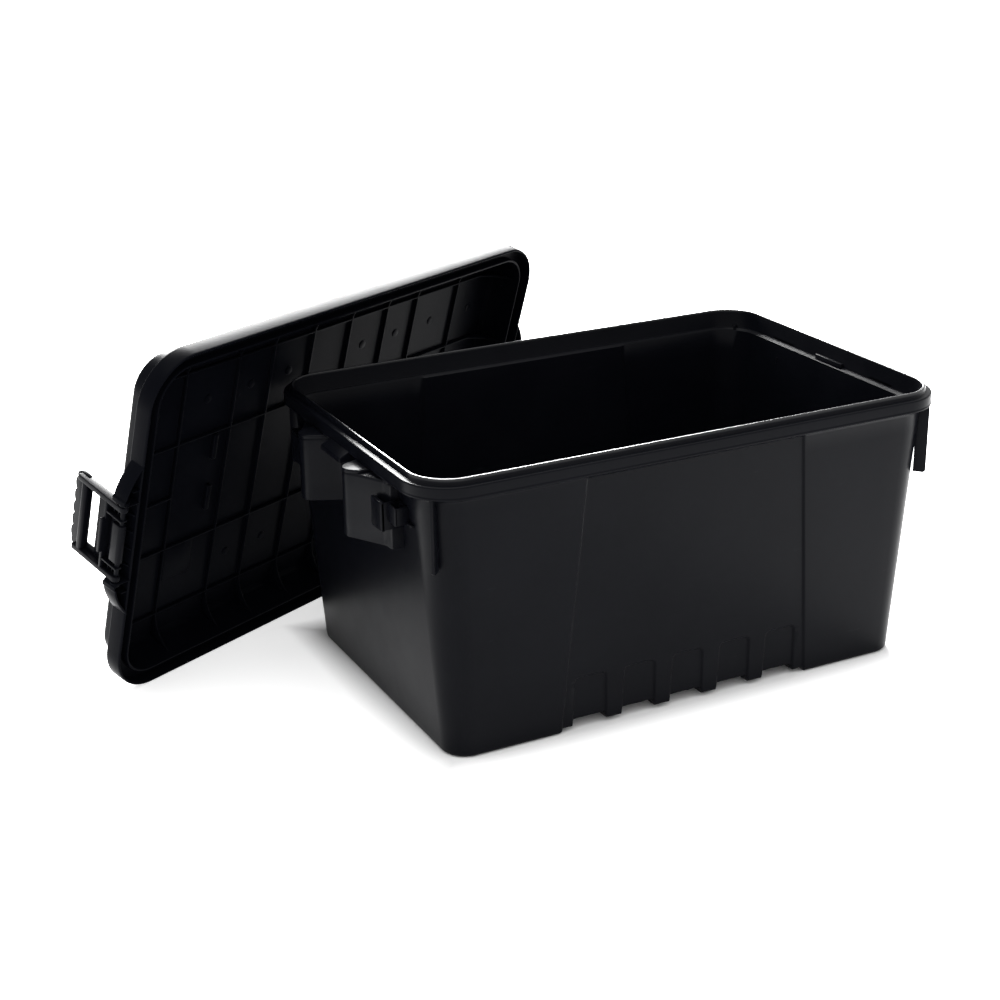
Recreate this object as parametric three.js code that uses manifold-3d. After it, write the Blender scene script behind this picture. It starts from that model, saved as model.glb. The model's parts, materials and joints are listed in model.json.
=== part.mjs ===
// A lidded storage trunk for tools: a deep moulded tub, a lift-off lid with a ribbed underside and a
// swing latch on each end of the lid. The lid is off, and leans on the tub's rear left rim corner.
// Millimetres, +Z up. X runs along the long side, -Y is the front, and the origin is the centre of the
// tub's base.

import * as THREE from 'three';
import { mergeVertices } from 'three/addons/utils/BufferGeometryUtils.js';
import Module from 'manifold-3d';

const wasm = await Module();
wasm.setup();

// ---- Tub
const tubHeight = 298;
const baseLength = 536;
const baseWidth = 346;
const baseCorner = 26;
const lipLength = 590;
const lipWidth = 376;
const lipCorner = 43;
const wall = 3;
const floorThickness = 4;
const baseEdgeRound = 4;
const floorFillet = 8;

// ---- Rim: a thin lip over a wide band, with a shoulder and an inner ledge below
const lipRise = 6;
const lipRound = 0.8;
const bandReach = 7;
const bandDrop = 19;
const bandSkin = 2.5;
const bandBead = 0.6;
const beadHeight = 2;
const shoulderDrop = 23;
const shoulderReach = 2.5;
const ledgeDrop = 21.5;

// ---- Long sides: a shallow centre panel with a row of pockets along its lower edge
const panelTopWidth = 248;
const panelBottomWidth = 294;
const panelDepth = 2.2;
const panelLift = 3.5;
const pocketCount = 5;
const pocketPitch = 57;
const pocketWidth = 37;
const pocketHeight = 47;
const pocketLift = 11;
const pocketDepth = 2.6;
const pocketCorner = 4;
const undercut = 22;

// ---- Corner fins under the band
const finThickness = 3.2;
const finHeight = 75;
const finInset = 0.8;
const finRound = 3;

// ---- Latch brackets and tie-down eyes on the tub's ends
const bracketHeight = 71;
const bracketReach = 28;
const bracketLength = 66;
const bracketSkin = 2.6;
const pocketFlare = 6;
const eyeStart = 45;
const eyeDrop = 19;
const eyeGap = 5.5;
const eyeSkin = 2.6;
const eyeLength = 24;
const eyeHeight = 30;
const loopReach = 8;
const loopLength = 17;
const loopHeight = 18;
const catchWidth = 48;
const catchHeight = 5;
const catchReach = 18;
const fittingDepth = 10;

// ---- Lid
const lidGap = 1;
const lidSkin = 2.5;
const lidHeight = 46;
const lidPanel = 3;
const skirtDepth = 20;
const domeInset = 14;
const domeSlope = 4;
const domeRound = 4;
const seatDepth = 14;
const tongueGap = 1;
const tongueSkin = 2.5;
const tongueSet = 4;
const ribHeight = 4;
const ribThickness = 2;
const ribRun = 33;
const crossRibPlaces = [30, 91, 143, 218];
const longRibPlaces = [64, 147];
const bracingRibStart = 218;
const topRecess = 1;
const topBorder = 24;

// ---- Latch
const latchHalfWidth = 44;
const latchLength = 80;
const latchDepth = 10;
const armWidth = 6;
const armLength = 70;
const gripDepth = 25;
const gripSkin = 4;
const gripOverhang = 1;
const gripCorner = 10;
const gripScallops = 5;
const scallopDepth = 1.4;
const ridgeWidth = 8;
const windowLength = 13;
const windowHalfWidth = 31;
const webThickness = 2.5;
const plateLength = 10;
const plateHalfWidth = 22;
const barrelRadius = 4.6;
const hookDrop = 20;
const hookReach = 4;
const hookThickness = 4;
const hookInset = 4;
const hookGap = 0.6;

// ---- Latch pivots
const pivotReach = 13.5;
const pivotHeight = 6;
const stubRadius = 2.5;
const stubLength = 4.5;
const pivotClearance = 0.4;
const earGap = 1.2;
const earReach = 19.5;
const earTip = 9;
const earRoot = 45;
const earHeight = 18;

// ---- How the lid leans on the tub
const lidYaw = 25.9;
const lidLean = 15.8;
const contactAlong = -50;
const restGap = 0.5;
const latchOpen = 186;

const arcSteps = 9;
const bandTop = tubHeight - lipRise;
const bandBottom = bandTop - bandDrop + lipRise;
const shoulder = tubHeight - shoulderDrop;
const ledge = tubHeight - ledgeDrop;
const lidOutset = bandReach + lidGap + lidSkin;
const lidLength = lipLength + 2 * lidOutset;
const lidWidth = lipWidth + 2 * lidOutset;
const lidCorner = lipCorner + lidOutset;
const pocketHalf = latchHalfWidth + gripOverhang + 3;
const ribEdge = lidHeight - lidPanel - ribHeight;
const catchUnderside = tubHeight - seatDepth + pivotHeight - hookDrop + hookGap;
const fittingRoot = baseLength / 2 - fittingDepth;

// ---- Solids

// Points of a rectangle with round corners, anticlockwise.
function roundedRectangle(halfLength, halfWidth, radius) {
  const points = [];
  const corners = [[1, 1], [-1, 1], [-1, -1], [1, -1]];
  corners.forEach(([sx, sy], quarter) => {
    for (let i = 0; i <= arcSteps; i++) {
      const angle = (quarter + i / arcSteps) * Math.PI / 2;
      const x = sx * (halfLength - radius) + radius * Math.cos(angle);
      const y = sy * (halfWidth - radius) + radius * Math.sin(angle);
      points.push(new THREE.Vector2(x, y));
    }
  });
  return points;
}

function toSolid(geometry) {
  geometry.deleteAttribute('normal');
  geometry.deleteAttribute('uv');
  const merged = mergeVertices(geometry, 1e-4);
  return new wasm.Manifold(new wasm.Mesh({
    numProp: 3,
    vertProperties: new Float32Array(merged.attributes.position.array),
    triVerts: new Uint32Array(merged.index.array),
  }));
}

function toGeometry(solid) {
  const mesh = solid.getMesh();
  const geometry = new THREE.BufferGeometry();
  geometry.setAttribute('position', new THREE.BufferAttribute(mesh.vertProperties, 3));
  geometry.setIndex(new THREE.BufferAttribute(mesh.triVerts, 1));
  return geometry;
}

// A closed solid through level rings of equal point count, with a flat cap on the first and the last.
function loft(rings) {
  const positions = [];
  const faces = [];
  const count = rings[0].points.length;
  for (const ring of rings) {
    for (const point of ring.points) positions.push(point.x, point.y, ring.z);
  }
  for (let r = 0; r + 1 < rings.length; r++) {
    for (let i = 0; i < count; i++) {
      const a = r * count + i;
      const b = r * count + (i + 1) % count;
      faces.push(a, b, b + count, a, b + count, a + count);
    }
  }
  const last = (rings.length - 1) * count;
  for (let i = 1; i + 1 < count; i++) {
    faces.push(0, i + 1, i);
    faces.push(last, last + i, last + i + 1);
  }
  const geometry = new THREE.BufferGeometry();
  geometry.setAttribute('position', new THREE.Float32BufferAttribute(positions, 3));
  geometry.setIndex(faces);
  return toSolid(geometry);
}

// A block between two corners.
function block(x0, x1, y0, y1, z0, z1) {
  const geometry = new THREE.BoxGeometry(x1 - x0, y1 - y0, z1 - z0);
  geometry.translate((x0 + x1) / 2, (y0 + y1) / 2, (z0 + z1) / 2);
  return toSolid(geometry);
}

// An outline in X and Y, drawn from z0 to z1.
function upright(points, z0, z1) {
  const shape = new THREE.Shape(points.map(([x, y]) => new THREE.Vector2(x, y)));
  const geometry = new THREE.ExtrudeGeometry(shape, { depth: z1 - z0, bevelEnabled: false });
  geometry.translate(0, 0, z0);
  return toSolid(geometry);
}

// A shape in X and Z, drawn along Y from y0 to y1.
function alongY(shape, y0, y1) {
  const settings = { depth: y1 - y0, bevelEnabled: false, curveSegments: 4 };
  const geometry = new THREE.ExtrudeGeometry(shape, settings);
  geometry.rotateX(Math.PI / 2);
  geometry.translate(0, y1, 0);
  return toSolid(geometry);
}

// A round bar along Y.
function bar(radius, x, z, y0, y1) {
  const geometry = new THREE.CylinderGeometry(radius, radius, y1 - y0, 20);
  geometry.translate(x, (y0 + y1) / 2, z);
  return toSolid(geometry);
}

function turned(solid, degrees) {
  const geometry = toGeometry(solid);
  geometry.rotateZ(THREE.MathUtils.degToRad(degrees));
  return toSolid(geometry);
}

function mirrored(solid, axis) {
  const geometry = toGeometry(solid);
  geometry.scale(axis === 'x' ? -1 : 1, axis === 'y' ? -1 : 1, 1);
  const index = geometry.index.array;
  for (let i = 0; i < index.length; i += 3) [index[i], index[i + 1]] = [index[i + 1], index[i]];
  return toSolid(geometry);
}

function joined(solids) {
  return solids.reduce((whole, next) => whole.add(next));
}

// A rectangle with round corners, as a shape between two corners.
function roundedShape(x0, x1, z0, z1, radius) {
  const shape = new THREE.Shape();
  shape.moveTo(x0, z0);
  shape.lineTo(x1, z0);
  shape.lineTo(x1, z1 - radius);
  shape.absarc(x1 - radius, z1 - radius, radius, 0, Math.PI / 2, false);
  shape.lineTo(x0 + radius, z1);
  shape.absarc(x0 + radius, z1 - radius, radius, Math.PI / 2, Math.PI, false);
  return shape;
}

// ---- Tub

// The drafted wall's outline at a height, moved inward.
function wallRing(z, inset) {
  const rise = z / tubHeight;
  const length = baseLength + (lipLength - 2 * shoulderReach - baseLength) * rise;
  const width = baseWidth + (lipWidth - 2 * shoulderReach - baseWidth) * rise;
  const radius = baseCorner + (lipCorner - shoulderReach - baseCorner) * rise;
  const corner = Math.max(radius - inset, 2);
  return { z, points: roundedRectangle(length / 2 - inset, width / 2 - inset, corner) };
}

// The lip's outline at a height, moved outward.
function rimRing(z, reach) {
  return { z, points: roundedRectangle(lipLength / 2 + reach, lipWidth / 2 + reach, lipCorner + reach) };
}

function tubOutside() {
  const round = baseEdgeRound;
  return loft([
    wallRing(0, round),
    wallRing(0.3 * round, 0.3 * round),
    wallRing(round, 0),
    wallRing(shoulder - 1, 0),
    rimRing(shoulder + 1, -0.6),
    rimRing(bandTop - bandSkin - 1, 0),
    rimRing(bandTop - bandSkin - 1, bandReach - bandSkin),
    rimRing(bandBottom, bandReach - bandSkin),
    rimRing(bandBottom, bandReach + bandBead),
    rimRing(bandBottom + beadHeight, bandReach + bandBead),
    rimRing(bandBottom + beadHeight + 1, bandReach),
    rimRing(bandTop - 1, bandReach),
    rimRing(bandTop, bandReach - 1),
    rimRing(bandTop, 0.8),
    rimRing(tubHeight - lipRound, 0),
    rimRing(tubHeight, -lipRound),
  ]);
}

function tubInside() {
  const fillet = floorFillet;
  return loft([
    wallRing(floorThickness, wall + fillet),
    wallRing(floorThickness + 0.3 * fillet, wall + 0.3 * fillet),
    wallRing(floorThickness + fillet, wall),
    wallRing(ledge - 1, wall),
    rimRing(ledge, -wall),
    rimRing(tubHeight - lipRound, -wall),
    rimRing(tubHeight, lipRound - wall),
    rimRing(tubHeight + 10, lipRound - wall),
  ]);
}

// Everything within the drafted wall, moved inward.
function core(inset) {
  return loft([wallRing(-10, inset), wallRing(tubHeight + 20, inset)]);
}

function panelShape(grow, top) {
  const low = panelBottomWidth / 2 + grow;
  const high = panelTopWidth / 2 + grow;
  const shape = new THREE.Shape();
  shape.moveTo(-low, -5);
  shape.lineTo(low, -5);
  shape.lineTo(high, top);
  shape.lineTo(-high, top);
  return shape;
}

function pocketPlaces() {
  return Array.from({ length: pocketCount }, (_, i) => (i - (pocketCount - 1) / 2) * pocketPitch);
}

// What the panel and its pockets take off both long sides. A skin of 0 gives the cut in the outside,
// and the wall thickness gives the matching bulge of the inside.
function sideRelief(skin) {
  const reach = lipWidth;
  const parts = [];
  const panel = alongY(panelShape(skin, bandBottom + skin), -reach, reach);
  parts.push(panel.subtract(core(panelDepth + skin)));
  const lift = alongY(panelShape(skin, panelLift + (skin ? floorThickness : 0)), -reach, reach);
  parts.push(lift.subtract(core(undercut + skin)));
  for (const x of pocketPlaces()) {
    const half = pocketWidth / 2 + skin;
    const top = pocketLift + pocketHeight + skin;
    const pocket = alongY(roundedShape(x - half, x + half, -5, top, pocketCorner + skin), -reach, reach);
    parts.push(pocket.subtract(core(panelDepth + pocketDepth + skin)));
    const raised = block(x - half, x + half, -reach, reach, -5, pocketLift + (skin ? floorThickness : 0));
    parts.push(raised.subtract(core(undercut + skin)));
  }
  return joined(parts);
}

// A thin upright plate across the rim corner, flush with the band.
function cornerFin() {
  const outer = lipCorner + bandReach - finInset;
  const low = bandBottom - finHeight;
  const shape = new THREE.Shape();
  shape.moveTo(0, low);
  shape.lineTo(outer - finRound, low);
  shape.absarc(outer - finRound, low + finRound, finRound, -Math.PI / 2, 0, false);
  shape.lineTo(outer, bandBottom + beadHeight);
  shape.lineTo(0, bandBottom + beadHeight);
  const geometry = toGeometry(turned(alongY(shape, -finThickness / 2, finThickness / 2), 45));
  geometry.translate(lipLength / 2 - lipCorner, lipWidth / 2 - lipCorner, 0);
  return toSolid(geometry);
}

// Plan of one latch bracket: a cheek beside the latch, and a wing that sweeps back to the end wall.
function bracketPlan(inset) {
  const face = lipLength / 2;
  const tip = face + bracketReach - inset;
  const near = pocketHalf + inset;
  const end = pocketHalf + bracketLength - inset;
  const foot = near - pocketFlare;
  const curve = new THREE.QuadraticBezierCurve(
    new THREE.Vector2(tip, near),
    new THREE.Vector2(face + 0.4 * bracketReach - inset, near + 0.42 * bracketLength),
    new THREE.Vector2(face + 4 - inset, near + 0.78 * bracketLength),
  );
  const cheek = [[fittingRoot, foot - pocketFlare], [face - 5, foot - pocketFlare], [face + 10, foot]];
  const wing = curve.getPoints(6).map((point) => [point.x, point.y]);
  return [...cheek, [tip - 5, near - 0.5], ...wing, [face + 4 - inset, end], [fittingRoot, end]];
}

function bracket() {
  const low = bandBottom - bracketHeight;
  const outside = upright(bracketPlan(0), low, bandBottom + beadHeight);
  const inside = upright(bracketPlan(bracketSkin), low - 1, bandBottom - bracketSkin);
  return outside.subtract(inside.subtract(core(0)));
}

// A strap eye: a plate that stands off the bracket's end, with an upright gap behind it, and a smaller
// padlock loop beyond it.
function strapEye() {
  const back = lipLength / 2 + 4;
  const face = back + 3 + eyeGap + eyeSkin;
  const start = pocketHalf + eyeStart;
  const end = start + eyeLength;
  const top = bandBottom - eyeDrop;
  const low = top - eyeHeight;
  const plate = block(fittingRoot, face, start, end, low, top);
  const gap = block(back + 3, back + 3 + eyeGap, start + eyeSkin, end - eyeSkin, low - 1, top + 1);
  const loopFace = lipLength / 2 + loopReach;
  const loopMid = (low + top) / 2 + 4;
  const loopLow = loopMid - loopHeight / 2;
  const loopTop = loopMid + loopHeight / 2;
  const loop = block(fittingRoot, loopFace, end - eyeSkin, end + loopLength, loopLow, loopTop);
  const eyeEnd = end + loopLength - eyeSkin;
  const eye = block(loopFace - 11, loopFace - eyeSkin, end + eyeSkin, eyeEnd, loopLow - 1, loopTop + 1);
  return plate.subtract(gap).add(loop.subtract(eye));
}

// The ledge under the rim band that the latch hooks under.
function latchCatch() {
  const face = lipLength / 2;
  const top = bandBottom + beadHeight;
  const shape = new THREE.Shape();
  shape.moveTo(fittingRoot, catchUnderside);
  shape.lineTo(face + catchReach, catchUnderside);
  shape.lineTo(face + catchReach, catchUnderside + catchHeight);
  shape.lineTo(face + bandReach, top);
  shape.lineTo(fittingRoot, top);
  return alongY(shape, -catchWidth / 2, catchWidth / 2);
}

// What is added outside one quarter of the tub, for the corner with positive X and Y.
function quarterFittings() {
  return joined([cornerFin(), bracket(), strapEye()]);
}

function tub() {
  const quarter = quarterFittings();
  const half = quarter.add(mirrored(quarter, 'y')).add(latchCatch()).subtract(core(0.5 * wall));
  const outside = tubOutside().subtract(sideRelief(0));
  const inside = tubInside().subtract(sideRelief(wall));
  return outside.add(half).add(mirrored(half, 'x')).subtract(inside);
}

// ---- Lid, in its own frame: Z is up when the lid is closed, and z = 0 is the skirt's lower edge

function lidRing(z, inset) {
  const corner = Math.max(lidCorner - inset, 4);
  return { z, points: roundedRectangle(lidLength / 2 - inset, lidWidth / 2 - inset, corner) };
}

function lidShell() {
  const tongueOuter = lidOutset + wall + tongueGap;
  const tongueInner = tongueOuter + tongueSkin;
  const under = lidHeight - lidPanel;
  const domeTop = domeInset + domeSlope;
  return loft([
    lidRing(lidHeight - topRecess, domeTop + topBorder),
    lidRing(lidHeight, domeTop + topBorder - 2),
    lidRing(lidHeight, domeTop + domeRound),
    lidRing(lidHeight - 0.3 * domeRound, domeTop + 0.3 * domeRound),
    lidRing(lidHeight - domeRound, domeTop),
    lidRing(skirtDepth + 2, domeInset),
    lidRing(skirtDepth, domeInset - 2),
    lidRing(skirtDepth, 1),
    lidRing(skirtDepth - 1, 0.2),
    lidRing(1, 0),
    lidRing(0, 0.6),
    lidRing(0, lidSkin),
    lidRing(seatDepth, lidSkin),
    lidRing(seatDepth, tongueOuter),
    lidRing(tongueSet, tongueOuter),
    lidRing(tongueSet, tongueInner),
    lidRing(under - domeRound, Math.max(tongueInner, domeTop + lidPanel)),
    lidRing(under, Math.max(tongueInner, domeTop + lidPanel) + domeRound),
  ].reverse());
}

// A rib's side view: level over the panel, sweeping up at both ends to brace the tongue.
function ribShape(halfSpan) {
  const shape = new THREE.Shape();
  const root = lidHeight - 0.5 * lidPanel;
  const crest = tongueSet + 5;
  shape.moveTo(-halfSpan, root);
  shape.lineTo(-halfSpan, crest);
  shape.quadraticCurveTo(-halfSpan + 0.2 * ribRun, ribEdge - 6, -halfSpan + ribRun, ribEdge);
  shape.lineTo(halfSpan - ribRun, ribEdge);
  shape.quadraticCurveTo(halfSpan - 0.2 * ribRun, ribEdge - 6, halfSpan, crest);
  shape.lineTo(halfSpan, root);
  return shape;
}

function lidRibs() {
  const edge = lidOutset + wall + tongueGap + 0.5 * tongueSkin;
  const ribs = [];
  for (const place of longRibPlaces) {
    for (const side of [-1, 1]) {
      const y = side * place;
      ribs.push(alongY(ribShape(lidLength / 2 - edge), y - ribThickness / 2, y + ribThickness / 2));
    }
  }
  const bracing = alongY(ribShape(lidLength / 2 - edge), -ribThickness / 2, ribThickness / 2);
  ribs.push(bracing.subtract(block(-bracingRibStart, bracingRibStart, -5, 5, 0, lidHeight)));
  for (const place of crossRibPlaces) {
    for (const side of [-1, 1]) {
      const x = side * place;
      const rib = alongY(ribShape(lidWidth / 2 - edge), -x - ribThickness / 2, -x + ribThickness / 2);
      ribs.push(turned(rib, 90));
    }
  }
  const reach = loft([
    lidRing(0, edge - 0.5),
    lidRing(skirtDepth + 2, domeInset + 1),
    lidRing(lidHeight - domeRound, domeInset + domeSlope + 1),
    lidRing(lidHeight - 0.5 * lidPanel, domeInset + domeSlope + domeRound),
  ]);
  return joined(ribs).intersect(reach);
}

// One ear of a latch pivot, for the side with positive X and Y.
function pivotEar() {
  const face = lidLength / 2;
  const near = latchHalfWidth + earGap;
  const plan = [
    [face - 2, near],
    [face + earReach - 3, near],
    [face + earReach, near + 2],
    [face + earReach, near + earTip - 2],
    [face + earReach - 2, near + earTip],
    [face + 3, near + 0.8 * earRoot],
    [face - 2, near + earRoot],
  ];
  const ear = upright(plan, 0, earHeight);
  const bore = bar(stubRadius + pivotClearance, face + pivotReach, pivotHeight, near - 1, near + stubLength);
  return ear.subtract(bore);
}

function lid() {
  const ear = pivotEar();
  const pair = ear.add(mirrored(ear, 'y'));
  return lidShell().add(lidRibs()).add(pair).add(mirrored(pair, 'x'));
}

// ---- Latch, hanging closed from its pivot at the origin: -Z is towards the grip, +X faces outward

// The grip's outline, seen from the side that the fingers hold, with a scalloped free edge.
function gripPlan() {
  const half = latchHalfWidth + gripOverhang;
  const top = gripDepth - latchLength;
  const corner = gripCorner;
  const points = [[-half + 3, top], [-half, top - 6], [-half, -latchLength + corner]];
  points.push([-half + 0.3 * corner, -latchLength + 0.3 * corner]);
  const steps = 6 * gripScallops;
  for (let i = 0; i <= steps; i++) {
    const along = -1 + 2 * i / steps;
    const wave = scallopDepth * Math.abs(Math.sin(Math.PI * gripScallops * i / steps));
    points.push([along * (half - corner), -latchLength + scallopDepth - wave]);
  }
  points.push([half - 0.3 * corner, -latchLength + 0.3 * corner]);
  points.push([half, -latchLength + corner], [half, top - 6], [half - 3, top]);
  return points;
}

// An outline in Y and Z, drawn along X from x0 to x1.
function alongX(points, x0, x1) {
  const shape = new THREE.Shape(points.map(([y, z]) => new THREE.Vector2(y, z)));
  const geometry = new THREE.ExtrudeGeometry(shape, { depth: x1 - x0, bevelEnabled: false });
  geometry.rotateY(Math.PI / 2);
  geometry.rotateX(Math.PI / 2);
  geometry.translate(x0, 0, 0);
  return toSolid(geometry);
}

// Two blocks alike, one at each side of the latch, between two distances from its middle.
function bothSides(x0, x1, inner, outer, z0, z1) {
  return block(x0, x1, inner, outer, z0, z1).add(block(x0, x1, -outer, -inner, z0, z1));
}

function latch() {
  const deep = latchDepth / 2;
  const half = latchHalfWidth;
  const inner = half - 1;
  const gripTop = gripDepth - latchLength;
  const windowEnd = gripTop + windowLength;
  const webFace = deep - webThickness;
  const arms = bothSides(-deep, deep, half - armWidth, half, -armLength, barrelRadius);
  const grip = alongX(gripPlan(), deep - gripSkin, deep);
  const ridge = block(-deep, webFace, -inner, inner, gripTop - ridgeWidth, gripTop);
  const cheeks = bothSides(webFace, deep, windowHalfWidth, inner, gripTop - 1, windowEnd + 1);
  const web = block(webFace, deep, -inner, inner, windowEnd, -stubRadius - 1);
  const plate = block(-barrelRadius, deep, -plateHalfWidth, plateHalfWidth, -plateLength, 0);
  const barrel = bar(barrelRadius, 0, 0, -plateHalfWidth, plateHalfWidth);
  const pinHalf = half + stubLength - 0.5;
  const pin = bar(stubRadius, 0, 0, -pinHalf, pinHalf);
  const hookHalf = catchWidth / 2 - hookInset;
  const hookLow = -hookDrop - hookThickness;
  const hookBar = block(-deep, webFace + 1, -inner, inner, hookLow, -hookDrop);
  const hook = block(-deep - hookReach, -deep + 1, -hookHalf, hookHalf, hookLow, -hookDrop);
  return joined([arms, grip, ridge, cheeks, web, plate, barrel, pin, hookBar, hook]);
}

// ---- Assembly

function plastic(name, solid, color, roughness) {
  const material = new THREE.MeshStandardMaterial({ color, roughness, metalness: 0 });
  const mesh = new THREE.Mesh(toGeometry(solid), material);
  mesh.name = name;
  return mesh;
}

// The lid stands on its long rear edge, and its underside rests against the band's rear left corner.
function leaningPlace() {
  const yaw = THREE.MathUtils.degToRad(lidYaw);
  const lean = THREE.MathUtils.degToRad(lidLean);
  const along = new THREE.Vector3(Math.cos(yaw), Math.sin(yaw), 0);
  const behind = new THREE.Vector3(-Math.sin(yaw), Math.cos(yaw), 0);
  const up = new THREE.Vector3(0, 0, 1);
  const out = behind.clone().multiplyScalar(Math.cos(lean)).addScaledVector(up, Math.sin(lean));
  const down = behind.clone().multiplyScalar(Math.sin(lean)).addScaledVector(up, -Math.cos(lean));
  const touch = new THREE.Vector3(lipCorner - lipLength / 2, lipWidth / 2 - lipCorner, 0);
  touch.addScaledVector(behind, lipCorner + bandReach);
  const depth = ribEdge - restGap;
  const back = (depth - Math.sin(lean) * bandTop) / Math.cos(lean);
  const foot = touch.clone().addScaledVector(along, -contactAlong).addScaledVector(behind, -back);
  const centre = foot.addScaledVector(down, -lidWidth / 2);
  return new THREE.Matrix4().makeBasis(along, down, out).setPosition(centre);
}

const trunk = new THREE.Group();
trunk.add(plastic('tub', tub(), 0x15161a, 0.42));

const lidGroup = new THREE.Group();
lidGroup.add(plastic('lid', lid(), 0x14151a, 0.45));
for (const [name, turn] of [['latch_left', Math.PI], ['latch_right', 0]]) {
  const end = new THREE.Group();
  end.rotation.z = turn;
  const pivot = new THREE.Group();
  pivot.position.set(lidLength / 2 + pivotReach, 0, pivotHeight);
  pivot.rotation.y = -THREE.MathUtils.degToRad(latchOpen);
  pivot.add(plastic(name, latch(), 0x121317, 0.4));
  end.add(pivot);
  lidGroup.add(end);
}
lidGroup.applyMatrix4(leaningPlace());
trunk.add(lidGroup);

export default trunk;
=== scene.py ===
"""A tool trunk in satin black plastic, with its lid off and leaning on one corner of the tub.

Sizes are in millimetres until a mesh is made. The tub is drawn where it stands. The lid's pieces are drawn as
if it lay closed, with z up from the skirt's free edge, and each latch's as if it hung closed from its pivot.
"""
import json
import math

import bmesh
import bpy
from mathutils import Matrix, Vector


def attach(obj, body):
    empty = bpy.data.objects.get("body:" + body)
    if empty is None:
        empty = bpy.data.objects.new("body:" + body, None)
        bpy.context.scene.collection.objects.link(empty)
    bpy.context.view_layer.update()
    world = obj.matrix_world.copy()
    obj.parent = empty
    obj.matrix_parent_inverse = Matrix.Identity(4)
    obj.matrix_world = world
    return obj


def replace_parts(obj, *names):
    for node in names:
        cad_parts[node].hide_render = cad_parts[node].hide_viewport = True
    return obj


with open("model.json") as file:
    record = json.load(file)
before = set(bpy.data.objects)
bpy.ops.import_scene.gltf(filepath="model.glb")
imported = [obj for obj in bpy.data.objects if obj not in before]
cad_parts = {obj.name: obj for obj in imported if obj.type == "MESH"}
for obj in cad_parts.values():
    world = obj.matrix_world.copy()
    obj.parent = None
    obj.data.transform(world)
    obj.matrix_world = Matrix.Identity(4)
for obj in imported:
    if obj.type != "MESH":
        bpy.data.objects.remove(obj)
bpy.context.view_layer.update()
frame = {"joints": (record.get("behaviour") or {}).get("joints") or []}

# ---- Tub
TUB_HEIGHT = 298.0
BASE = (268.0, 173.0, 26.0)
LIP = (295.0, 188.0, 43.0)
STRAIGHT_RUN = BASE[0] - BASE[2]
WALL = 3.0
SHOULDER_REACH = 2.5
BAND_LOW = 279.0
BAND_REACH = 7.0
FLOOR = 4.0
CORNER = (LIP[0] - LIP[2], LIP[1] - LIP[2])

# ---- Panel and pockets on the long sides
PANEL_LOW = 147.0
PANEL_HIGH = 124.0
PANEL_DEPTH = 2.2
PANEL_LIFT = 3.5
POCKET_PLACES = [-114.0, -57.0, 0.0, 57.0, 114.0]
POCKET_HALF_LOW = 19.0
POCKET_HALF_HIGH = 17.8
POCKET_TOP = 58.0
POCKET_LIFT = 11.0
POCKET_DEPTH = 2.6
POCKET_CORNER = 5.0
EDGE_SOFT = 1.2
FIXED_RUN = 110.0
LIFT_FADES_OUTSIDE = 12.5
LIFT_FADES_INSIDE = 24.5

# ---- Fins, brackets, eyes and latch ledges on the tub's corners and ends
FIN_HALF = 1.6
FIN_HEIGHT = 75.0
FIN_ROOT = 36.0
FIN_TOP = 280.0
FIN_FOOT = 3.0
BRACKET_LOW = 208.5
BRACKET_REACH = 28.0
BRACKET_NOSE = 12.0
BRACKET_SKIN = 2.6
CAP_LOW = 274.4
CAP_HIGH = 278.6
POCKET_SIDE = 48.0
EYE_REACH = 12.0
EYE_NEAR = 93.0
EYE_FAR = 117.0
EYE_LOW = 230.0
EYE_HIGH = 260.0
LOOP_REACH = 8.0
LOOP_FAR = 134.0
LOOP_LOW = 240.0
LOOP_HIGH = 258.0
FITTING_SKIN = 2.6
LEDGE_LOW = 270.6
LEDGE_HIGH = 281.0
LEDGE_REACH = 18.0
LEDGE_HALF = 24.0

# ---- Lid
LID = (305.5, 198.5, 53.5)
TONGUE_BACK = 15.9
RIB_CREST = 9.0
RIB_EDGE = 39.0
RIB_HALF = 1.0
RIB_RUN = 33.0
CROSS_RIBS = [30.0, 91.0, 143.0, 218.0]
LONG_RIBS = [64.0, 147.0]
PANEL_UNDERSIDE = 43.6
EAR_GAP = 1.2
EAR_REACH = 19.5
EAR_TIP = 2.5
EAR_ROOT = 45.0
COLLAR_RADIUS = 5.2

# ---- Latch
LATCH_HALF = 44.0
LATCH_LENGTH = 80.0
LATCH_DEEP = 5.0
ARM_WIDTH = 6.0
ARM_END = -70.0
GRIP_TOP = -55.0
GRIP_CORNER = 9.0
SCALLOPS = 5
SCALLOP_DEPTH = 2.6
RIDGE_WIDTH = 8.0
RIDGE_ROUND = 2.6
WINDOW_END = -42.0
WINDOW_HALF = 31.0
HOOK_TOP = -20.0
HOOK_LOW = -24.0
HOOK_HALF = 20.0
WEB_FACE = 2.5
PLATE_HALF = 22.0
BARREL_RADIUS = 4.6
PIN_RADIUS = 2.5
PIN_OUT = 4.0
PIVOT_REACH = 13.5
PIVOT_HEIGHT = 6.0

# ---- Camera, in metres and degrees
CAMERA_PLACE = (-0.9408, -1.6231, 0.8881)
CAMERA_HEADING = -26.666
CAMERA_DOWN = 21.049
CAMERA_ROLL = -0.879
CAMERA_LENS = 66.96

# ---- Floor's glow, with a painted contact shadow under the tub that fades out to full glow this far past the tub's base, and the place that the lamps face, in metres
GLOW_FULL = 35.0
LAMPS_FACE = (-0.05, 0.05, 0.2)

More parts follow.
